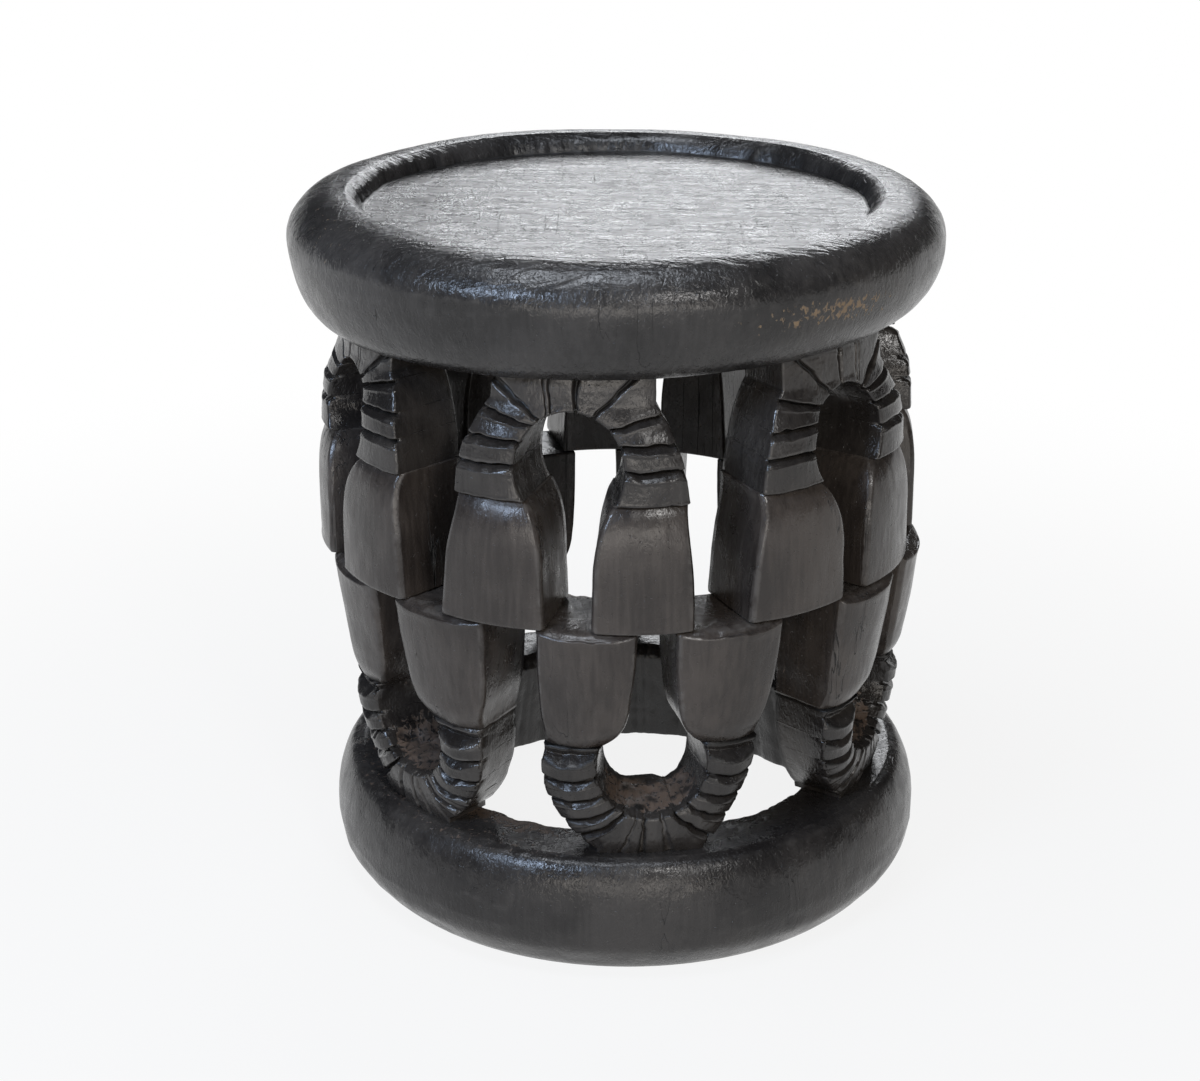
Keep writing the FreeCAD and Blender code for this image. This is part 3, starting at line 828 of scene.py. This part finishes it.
# %% Grooves across the ladder
def groove_profile(tier, size):
    """(way up the leg, bevel, slot) across the groove under a rib's lip."""
    high = tier["bevel_height"] * size
    cut = tier["bevel_depth"] * size
    edge = -1 * mm - high
    rows = [(edge - 1.2 * mm, 0, 0), (edge - 0.5 * mm, 0, -0.3 * mm), (edge, 0, -0.15 * mm)]
    rows += [(-1 * mm - high * share, cut * (1 - share), 0) for share in (0.88, 0.66, 0.44, 0.22)]
    rows += [(-1 * mm, cut, 0.2 * mm), (-0.7 * mm, cut, 1.8 * mm), (0.5 * mm, cut, 2.8 * mm)]
    rows += [(1.8 * mm, cut, 3.0 * mm), (2.5 * mm, cut, 2.5 * mm), (2.1 * mm, 0, 1.2 * mm)]
    rows += [(2.2 * mm, 0, 0.3 * mm), (2.7 * mm, 0, 0)]
    if tier["up"] > 0:
        return rows
    return [(-along, bevel, slot) for along, bevel, slot in reversed(rows)]


def fan_profile(half, depth):
    """The same for a plain groove with sloping sides."""
    shape = (
        (-1.35, 0), (-1.0, 0.06), (-0.72, 0.5), (-0.3, 1.0),
        (0.25, 1.0), (0.62, 0.55), (1.0, 0.06), (1.35, 0),
    )
    return [(half * along * mm, 0, depth * deep * mm) for along, deep in shape]


print("rungs in an undercut groove:", len(groove_profile(upper_tier, 1)))


# %% The ladder of one leg
def leg_rungs(tier, side, number, generator):
    """(place, bevel, slot, wobble) of each rung from the collar to the crown."""
    lengths = np.array([hole_length(tier), outer_length(tier)])
    waves = np.linspace(0, 1, 9)
    which = (side > 0) != (number % 2 == 1)
    collar = [(along * mm, bevel * mm, slot * mm) for along, bevel, slot in tier["collar_rows"]]
    lines = [(np.zeros(2), collar, np.ones(2))]
    for order, place in enumerate(tier["grooves"][which]):
        stray = generator.normal(0, 0.6, 2) * mm / lengths * (number > 0)
        squeeze = np.array([(0.85, 0.75, 0.55, 0.5)[order], 1.0])
        lines.append((np.array(place) + stray, groove_profile(tier, 1 + generator.normal(0, 0.07)), squeeze))
    for hole_share, outer_share, half, depth in tier["fans"][which]:
        lines.append((np.array((hole_share, outer_share)), fan_profile(half, depth), np.array([0.6, 1.1])))
    lines.append((np.ones(2), [], np.ones(2)))

    rungs = []
    last = None
    last_wobble = 0
    for place, profile, squeeze in lines:
        start = place + (profile[0][0] if profile else 0) * squeeze / lengths
        wobble = np.interp(rung_across, waves, generator.normal(0, 0.4, len(waves)) * mm) if profile else 0
        if last is not None:
            span = start - last
            count = max(2, int((span * lengths).max() / (1.35 * mm)))
            for step in range(1, count):
                share = step / count
                rungs.append((last + span * share, 0, 0, last_wobble + (wobble - last_wobble) * share))
        deeper = np.interp(rung_across, waves, 1 + generator.normal(0, 0.16, len(waves)))
        for along, bevel, slot in profile:
            rungs.append((place + along * squeeze / lengths, bevel, slot * deeper, wobble))
        if profile:
            last = place + profile[-1][0] * squeeze / lengths
            last_wobble = wobble
    return rungs


# %% Make a handle
def make_handle(tier, number):
    centre = tier["front_angle"] + (number + tier["strays"][number]) * pitch
    generator = np.random.default_rng(500 + number + 20 * (tier["up"] > 0))
    halves = []
    for side, lean in zip((-1, 1), tier["leans"][number]):
        halves.append([
            rung(tier, centre, side, lean, place, bevel, slot, wobble)
            for place, bevel, slot, wobble in leg_rungs(tier, side, number, generator)
        ])
    middle = rung(tier, centre, 1, 0, (1.0, 1.0), 0, 0, 0)
    return loft(halves[0] + [middle] + halves[1][::-1])


# %% Carve the handles
handles = []
for tier in (upper_tier, lower_tier):
    for number in range(gongs_per_tier):
        node = f"{tier['name']}_{number + 1}_handle"
        handle = to_object(make_handle(tier, number), "carved_" + node)
        points, normals = read_points(handle.data)
        seed = 300 + number + 20 * (tier["up"] > 0)
        centre = tier["front_angle"] + (number + tier["strays"][number]) * pitch
        radius = np.hypot(points[:, 0] - tier["shift"], points[:, 1])
        angle = np.arctan2(points[:, 0] - tier["shift"], -points[:, 1]) - centre
        across = (np.remainder(angle + math.pi, math.tau) - math.pi) * tier["collar_radius"]
        from_hole = np.hypot(across, points[:, 2] - tier["hole_centre"]) - tier["hole"]
        in_hole = ramp(-from_hole, -2.5 * mm, 0) * ramp(-radius, -183 * mm, -176 * mm)
        crown_part = ramp((points[:, 2] - tier["hole_centre"]) * tier["up"], 5 * mm, 26 * mm)
        push = layered(points, (
            (0.28, 0, (9, 9, 9), seed),
            (0.1, 0, (3, 3, 3), seed + 1),
            (0.05, 0, (1.2, 1.2, 1.2), seed + 2),
        ))
        torn_grain = layered(points, (
            (2.0, -0.3, (8, 8, 8), seed + 3),
            (0.6, 0, (3, 3, 3), seed + 4),
        ))
        push += torn_grain * in_hole * crown_part * (tier["up"] < 0)
        from_ends = np.minimum(np.abs(points[:, 2] - tier["collar"]), np.abs(points[:, 2] - tier["crown"]))
        points += normals * (push * ramp(from_ends, -0.5 * mm, 2 * mm))[:, None]
        write_points(handle.data, points)
        bare = in_hole * (0.25 + 0.75 * crown_part) if tier["up"] < 0 else 0.2 * in_hole
        keep_attribute(handle.data, "bare", np.clip(bare, 0, 1))
        keep_hollows(handle.data, 8)
        handles.append((handle, node))
print("handles:", len(handles), "triangles each about", len(handles[0][0].data.polygons) * 2)

# %% [markdown]
# ## Wood
#
# The wood is nearly black, with a brown tone under a waxed, hand-rubbed
# gloss. All of it is worked out from noise in the stool's own coordinates:
# upright streaks of grain, hairline cracks that follow them, fine wrinkles in
# the old wax, and scratches. Two attributes from the carving step are read as
# well: "hollow", which darkens the grooves with soiling and painted shade and
# lightens and polishes the edges with rubbed wear and a painted highlight,
# and "bare", where the dark skin has worn or was never put on. The top of the
# seat also has long soft ridges, left by years of wiping.

# %% Small node helpers
def stretched(tree, scale, turn=(0, 0, 0)):
    """Object coordinates, turned and scaled, to stretch a noise with."""
    coords = tree.nodes.new("ShaderNodeTexCoord")
    mapping = tree.nodes.new("ShaderNodeMapping")
    mapping.inputs["Rotation"].default_value = turn
    mapping.inputs["Scale"].default_value = scale
    tree.links.new(coords.outputs["Object"], mapping.inputs["Vector"])
    return mapping.outputs["Vector"]


def clouds(tree, vector, scale, detail, distortion=0.0):
    texture = tree.nodes.new("ShaderNodeTexNoise")
    texture.inputs["Scale"].default_value = scale
    texture.inputs["Detail"].default_value = detail
    texture.inputs["Distortion"].default_value = distortion
    tree.links.new(vector, texture.inputs["Vector"])
    return texture.outputs["Fac"]


def between(tree, value, low, high, start=0.0, end=1.0):
    """Smooth step of a value from start at low to end at high."""
    node = tree.nodes.new("ShaderNodeMapRange")
    node.interpolation_type = "SMOOTHSTEP"
    node.inputs["From Min"].default_value = low
    node.inputs["From Max"].default_value = high
    node.inputs["To Min"].default_value = start
    node.inputs["To Max"].default_value = end
    tree.links.new(value, node.inputs["Value"])
    return node.outputs["Result"]


def calc(tree, operation, a, b):
    node = tree.nodes.new("ShaderNodeMath")
    node.operation = operation
    for socket, value in zip(node.inputs, (a, b)):
        if isinstance(value, (int, float)):
            socket.default_value = value
        else:
            tree.links.new(value, socket)
    return node.outputs[0]


def blend(tree, share, first, second):
    """Colour mix; each colour is a socket or three numbers."""
    node = tree.nodes.new("ShaderNodeMix")
    node.data_type = "RGBA"
    tree.links.new(share, node.inputs["Factor"])
    for socket, colour in ((node.inputs[6], first), (node.inputs[7], second)):
        if isinstance(colour, tuple):
            socket.default_value = (*colour, 1)
        else:
            tree.links.new(colour, socket)
    return node.outputs[2]


def attribute(tree, name):
    node = tree.nodes.new("ShaderNodeAttribute")
    node.attribute_name = name
    return node.outputs["Fac"]


# %% Marks of wear, with painted highlight and painted shade
def wear_and_light_marks(tree, plain, upright, crack_share):
    """Shares from 0 to 1 of rubbed edges with a painted highlight, bare wood, cracks, and cracks together
    with grooves darkened by soiling and painted shade.
    """
    hollow = attribute(tree, "hollow")
    # Painted shade: the deeper a point lies in a groove, the darker it is painted, for the shade that falls
    # there, together with soiling.
    grime_and_shade = between(tree, hollow, 0.06, 0.75)
    rubbed = between(tree, clouds(tree, plain, 130, 3), 0.38, 0.6)
    # Painted highlight: convex edges, where rubbed, are painted lighter, both as worn wood and as the glint
    # on their rounding.
    edge = calc(tree, "MULTIPLY", between(tree, hollow, -0.1, -0.55), rubbed)

    bare = attribute(tree, "bare")
    speck = clouds(tree, stretched(tree, (1, 1, 0.7)), 340, 5, 0.6)
    threshold = calc(tree, "SUBTRACT", 0.78, calc(tree, "MULTIPLY", bare, 0.4))
    patches = tree.nodes.new("ShaderNodeClamp")
    above = calc(tree, "MULTIPLY", calc(tree, "SUBTRACT", speck, threshold), 12)
    tree.links.new(above, patches.inputs["Value"])
    worn = calc(tree, "MULTIPLY", patches.outputs[0], between(tree, bare, 0.03, 0.3))

    long_grain = stretched(tree, (1, 1, 0.03))
    line = calc(tree, "ABSOLUTE", calc(tree, "SUBTRACT", clouds(tree, long_grain, 75, 3, 0.25), 0.5), 0)
    cracked = between(tree, clouds(tree, upright, 22, 2), 1 - crack_share, 1.06 - crack_share)
    crack = calc(tree, "MULTIPLY", between(tree, line, 0.006, 0.002), cracked)
    # Cracks and the painted shade in the grooves share one near-black colour.
    cracks_and_groove_shade = calc(tree, "MAXIMUM", calc(tree, "MULTIPLY", grime_and_shade, 0.85), calc(tree, "MULTIPLY", crack, 0.9))
    return edge, worn, crack, cracks_and_groove_shade


# %% [markdown]
# The relief is too fine for the mesh, so it is bump: wrinkles of old wax,
# the streaks of the grain, cracks, scratches and the pits of bare wood. Only
# the top of the seat has the wiped ridges, so they fade in above a level.

# %% Relief of the wood
def wood_relief(tree, plain, streak, marks, wrinkles, brushed_from):
    """Normal of the surface with its fine relief."""
    _, worn, crack, _ = marks
    wrinkle = clouds(tree, stretched(tree, (1, 1, 0.6)), 330, 4, 1.2)
    scratch = between(tree, clouds(tree, stretched(tree, (1, 0.03, 1), (0.5, 0.6, 0.9)), 420, 1), 0.7, 0.76)
    height = calc(tree, "MULTIPLY", wrinkle, wrinkles)
    height = calc(tree, "ADD", height, calc(tree, "MULTIPLY", streak, 0.35))
    height = calc(tree, "SUBTRACT", height, calc(tree, "MULTIPLY", crack, 1.2))
    height = calc(tree, "SUBTRACT", height, calc(tree, "MULTIPLY", scratch, 0.4))
    height = calc(tree, "SUBTRACT", height, calc(tree, "MULTIPLY", worn, 0.4))
    if brushed_from:
        parts = tree.nodes.new("ShaderNodeSeparateXYZ")
        tree.links.new(plain, parts.inputs["Vector"])
        on_top = between(tree, parts.outputs["Z"], brushed_from, brushed_from + 10 * mm)
        brushed = clouds(tree, stretched(tree, (0.4, 1.5, 1), (0, 0, 0.12)), 95, 4, 1.2)
        ridges = calc(tree, "MULTIPLY", calc(tree, "MULTIPLY", brushed, on_top), 2.6)
        height = calc(tree, "ADD", height, ridges)
    bump = tree.nodes.new("ShaderNodeBump")
    bump.inputs["Strength"].default_value = 1.0
    bump.inputs["Distance"].default_value = 0.45 * mm
    tree.links.new(height, bump.inputs["Height"])
    return bump.outputs["Normal"]


# %% Wood material
# Lighter colour of rubbed edges: worn wood and a painted highlight.
rubbed_highlight_colour = (0.11, 0.1, 0.09)
# Near black of the cracks and of the painted shade in the grooves.
crack_and_shade_colour = (0.004, 0.0035, 0.003)


def patina(name, dark, light, gloss, streaks, wrinkles, bare_colour, crack_share, brushed_from=None):
    """Old waxed wood between two colours; above brushed_from it has wiped ridges."""
    material = bpy.data.materials.new(name)
    material.use_nodes = True
    tree = material.node_tree
    shader = tree.nodes["Principled BSDF"]
    plain = stretched(tree, (1, 1, 1))
    upright = stretched(tree, (1, 1, 0.09))
    marks = wear_and_light_marks(tree, plain, upright, crack_share)
    edge, worn, _, cracks_and_groove_shade = marks

    streak = clouds(tree, upright, 300, 3)
    cloud_part = calc(tree, "MULTIPLY", clouds(tree, plain, 16, 5), 1 - streaks)
    tone = calc(tree, "ADD", cloud_part, calc(tree, "MULTIPLY", streak, streaks))
    colour = blend(tree, between(tree, tone, 0.36, 0.66), dark, light)
    colour = blend(tree, worn, colour, bare_colour)
    # Painted highlight on the rubbed edges, partly worn wood.
    colour = blend(tree, calc(tree, "MULTIPLY", edge, 0.35), colour, rubbed_highlight_colour)
    # Painted shade in the grooves, and the dark cracks.
    colour = blend(tree, cracks_and_groove_shade, colour, crack_and_shade_colour)
    tree.links.new(colour, shader.inputs["Base Color"])

    rough = between(tree, clouds(tree, plain, 60, 4), 0.3, 0.7, gloss - 0.06, gloss + 0.06)
    rough = calc(tree, "ADD", rough, calc(tree, "MULTIPLY", worn, 0.25))
    rough = calc(tree, "ADD", rough, calc(tree, "MULTIPLY", cracks_and_groove_shade, 0.3))
    rough = calc(tree, "SUBTRACT", rough, calc(tree, "MULTIPLY", edge, 0.08))
    tree.links.new(rough, shader.inputs["Roughness"])
    shader.inputs["Specular IOR Level"].default_value = 0.4
    relief = wood_relief(tree, plain, streak, marks, wrinkles, brushed_from)
    tree.links.new(relief, shader.inputs["Normal"])
    return material


# %% The four woods
brown = (0.1, 0.071, 0.053)
tan = (0.21, 0.145, 0.085)
seat_wood = patina(
    "seat_patina", dark=(0.012, 0.011, 0.0105), light=(0.034, 0.031, 0.029), gloss=0.25,
    streaks=0.25, wrinkles=1.0, bare_colour=tan, crack_share=0.42, brushed_from=456 * mm,
)
ring_wood = patina(
    "ring_patina", dark=(0.012, 0.0105, 0.01), light=(0.036, 0.032, 0.029), gloss=0.27,
    streaks=0.25, wrinkles=0.9, bare_colour=brown, crack_share=0.4,
)
rib_wood = patina(
    "rib_patina", dark=(0.014, 0.012, 0.011), light=(0.04, 0.035, 0.031), gloss=0.24,
    streaks=0.25, wrinkles=0.7, bare_colour=brown, crack_share=0.3,
)
bell_wood = patina(
    "bell_patina", dark=(0.023, 0.0185, 0.016), light=(0.056, 0.046, 0.039), gloss=0.29,
    streaks=0.35, wrinkles=0.5, bare_colour=brown, crack_share=0.45,
)
print("woods:", [wood.name for wood in (seat_wood, ring_wood, rib_wood, bell_wood)])


# %% Dress the pieces
def dress(piece, material, node):
    piece.data.materials.clear()
    piece.data.materials.append(material)
    piece.data.shade_smooth()
    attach(piece, "root")
    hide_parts(node)


dress(seat, seat_wood, "seat")
dress(ring, ring_wood, "base_ring")
for bell, node in bells:
    dress(bell, bell_wood, node)
for handle, node in handles:
    dress(handle, rib_wood, node)
print("dressed pieces:", 2 + len(bells) + len(handles))

# %% [markdown]
# ## Studio
#
# A wide pale floor, a dim room and soft panels. The dish is seen at a low
# angle, so the panel behind the stool, which it mirrors, is its silvery sheen.
# Two smaller panels in front, one blue and one white, stand for windows and
# put a glint on each shoulder and on the fronts of the seat and the ring.

# %% Floor
def on_show(tree):
    """1 for rays from the camera and from mirrors and glass, 0 for the rays that light the stool."""
    path = tree.nodes.new("ShaderNodeLightPath")
    seen = calc(tree, "MAXIMUM", path.outputs["Is Camera Ray"], path.outputs["Is Glossy Ray"])
    return calc(tree, "MAXIMUM", seen, path.outputs["Is Transmission Ray"])


floor_bm = bmesh.new()
floor_reach = 60
bmesh.ops.create_grid(floor_bm, x_segments=1, y_segments=1, size=floor_reach)
floor = to_object(floor_bm, "floor")
floor_paint = bpy.data.materials.new("floor_paint")
floor_paint.use_nodes = True
tree = floor_paint.node_tree
tree.nodes["Principled BSDF"].inputs["Base Color"].default_value = (0.45, 0.45, 0.45, 1)
tree.nodes["Principled BSDF"].inputs["Roughness"].default_value = 0.9
glow = tree.nodes.new("ShaderNodeEmission")
glow.inputs["Strength"].default_value = 1.0
away = tree.nodes.new("ShaderNodeVectorMath")
away.operation = "LENGTH"
tree.links.new(stretched(tree, (1, 1, 1)), away.inputs[0])
whiteness = between(tree, away.outputs["Value"], 0.3, 1.2, 0.87, 1.0)
mix = tree.nodes.new("ShaderNodeMixShader")
tree.links.new(calc(tree, "MULTIPLY", on_show(tree), whiteness), mix.inputs[0])
tree.links.new(tree.nodes["Principled BSDF"].outputs[0], mix.inputs[1])
tree.links.new(glow.outputs[0], mix.inputs[2])
tree.links.new(mix.outputs[0], tree.nodes["Material Output"].inputs["Surface"])
floor.data.materials.append(floor_paint)
print("floor, m:", 2 * floor_reach, "square")

# %% World
world = bpy.data.worlds.new("studio")
bpy.context.scene.world = world
world.use_nodes = True
world.node_tree.nodes["Background"].inputs["Color"].default_value = (0.94, 0.96, 1.0, 1)
world.node_tree.nodes["Background"].inputs["Strength"].default_value = 0.05
print("world:", world.name)

# %% Lights
def area_light(name, place, target, size, power, colour):
    lamp = bpy.data.lights.new(name, "AREA")
    lamp.shape = "RECTANGLE"
    lamp.size, lamp.size_y = size
    lamp.energy = power
    lamp.color = colour
    holder = bpy.data.objects.new(name, lamp)
    holder.location = place
    holder.rotation_euler = (Vector(target) - Vector(place)).to_track_quat("-Z", "Y").to_euler()
    bpy.context.scene.collection.objects.link(holder)


area_light("back_light", (0.25, 2.4, 1.5), (0, 0, 0.45), (1.3, 0.9), 27, (0.95, 0.97, 1.0))
area_light("top_light", (-0.2, -0.35, 1.9), (0, 0, 0.4), (0.8, 0.5), 18, (0.85, 0.91, 1.0))
area_light("blue_window", (-1.25, -1.5, 1.4), (0, 0, 0.35), (0.7, 0.4), 32, (0.6, 0.75, 1.0))
area_light("white_window", (0.62, -1.8, 1.45), (0, 0, 0.35), (0.3, 0.35), 13, (1.0, 0.98, 0.96))
area_light("front_light", (0.1, -2.7, 0.45), (0, 0, 0.2), (2.6, 0.5), 20, (1.0, 0.94, 0.87))
print("panels:", [lamp.name for lamp in bpy.data.lights])

# %% [markdown]
# ## Camera
#
# Place and focal length were fitted to the three round edges in the photo,
# the rim, the dish and the foot ring, and to the straight sides. The focal
# length is in widths of the picture.

# %% Camera at the photograph's angle
photo_focal = 2339.9 / 1200
camera_distance = 1.5198
camera_height = 0.8225
camera_yaw = math.radians(-0.413)
camera_pitch = math.radians(21.359)
camera_roll = math.radians(-0.073)
camera_data = bpy.data.cameras.new("camera")
camera_data.sensor_fit = "HORIZONTAL"
camera_data.lens = camera_data.sensor_width * photo_focal
camera = bpy.data.objects.new("camera", camera_data)
camera.location = (0, -camera_distance, camera_height)
camera.rotation_euler = (math.pi / 2 - camera_pitch, camera_roll, -camera_yaw)
bpy.context.scene.collection.objects.link(camera)
bpy.context.scene.camera = camera
bpy.context.scene.view_settings.view_transform = "Standard"
print("lens, mm:", round(camera_data.lens, 1))
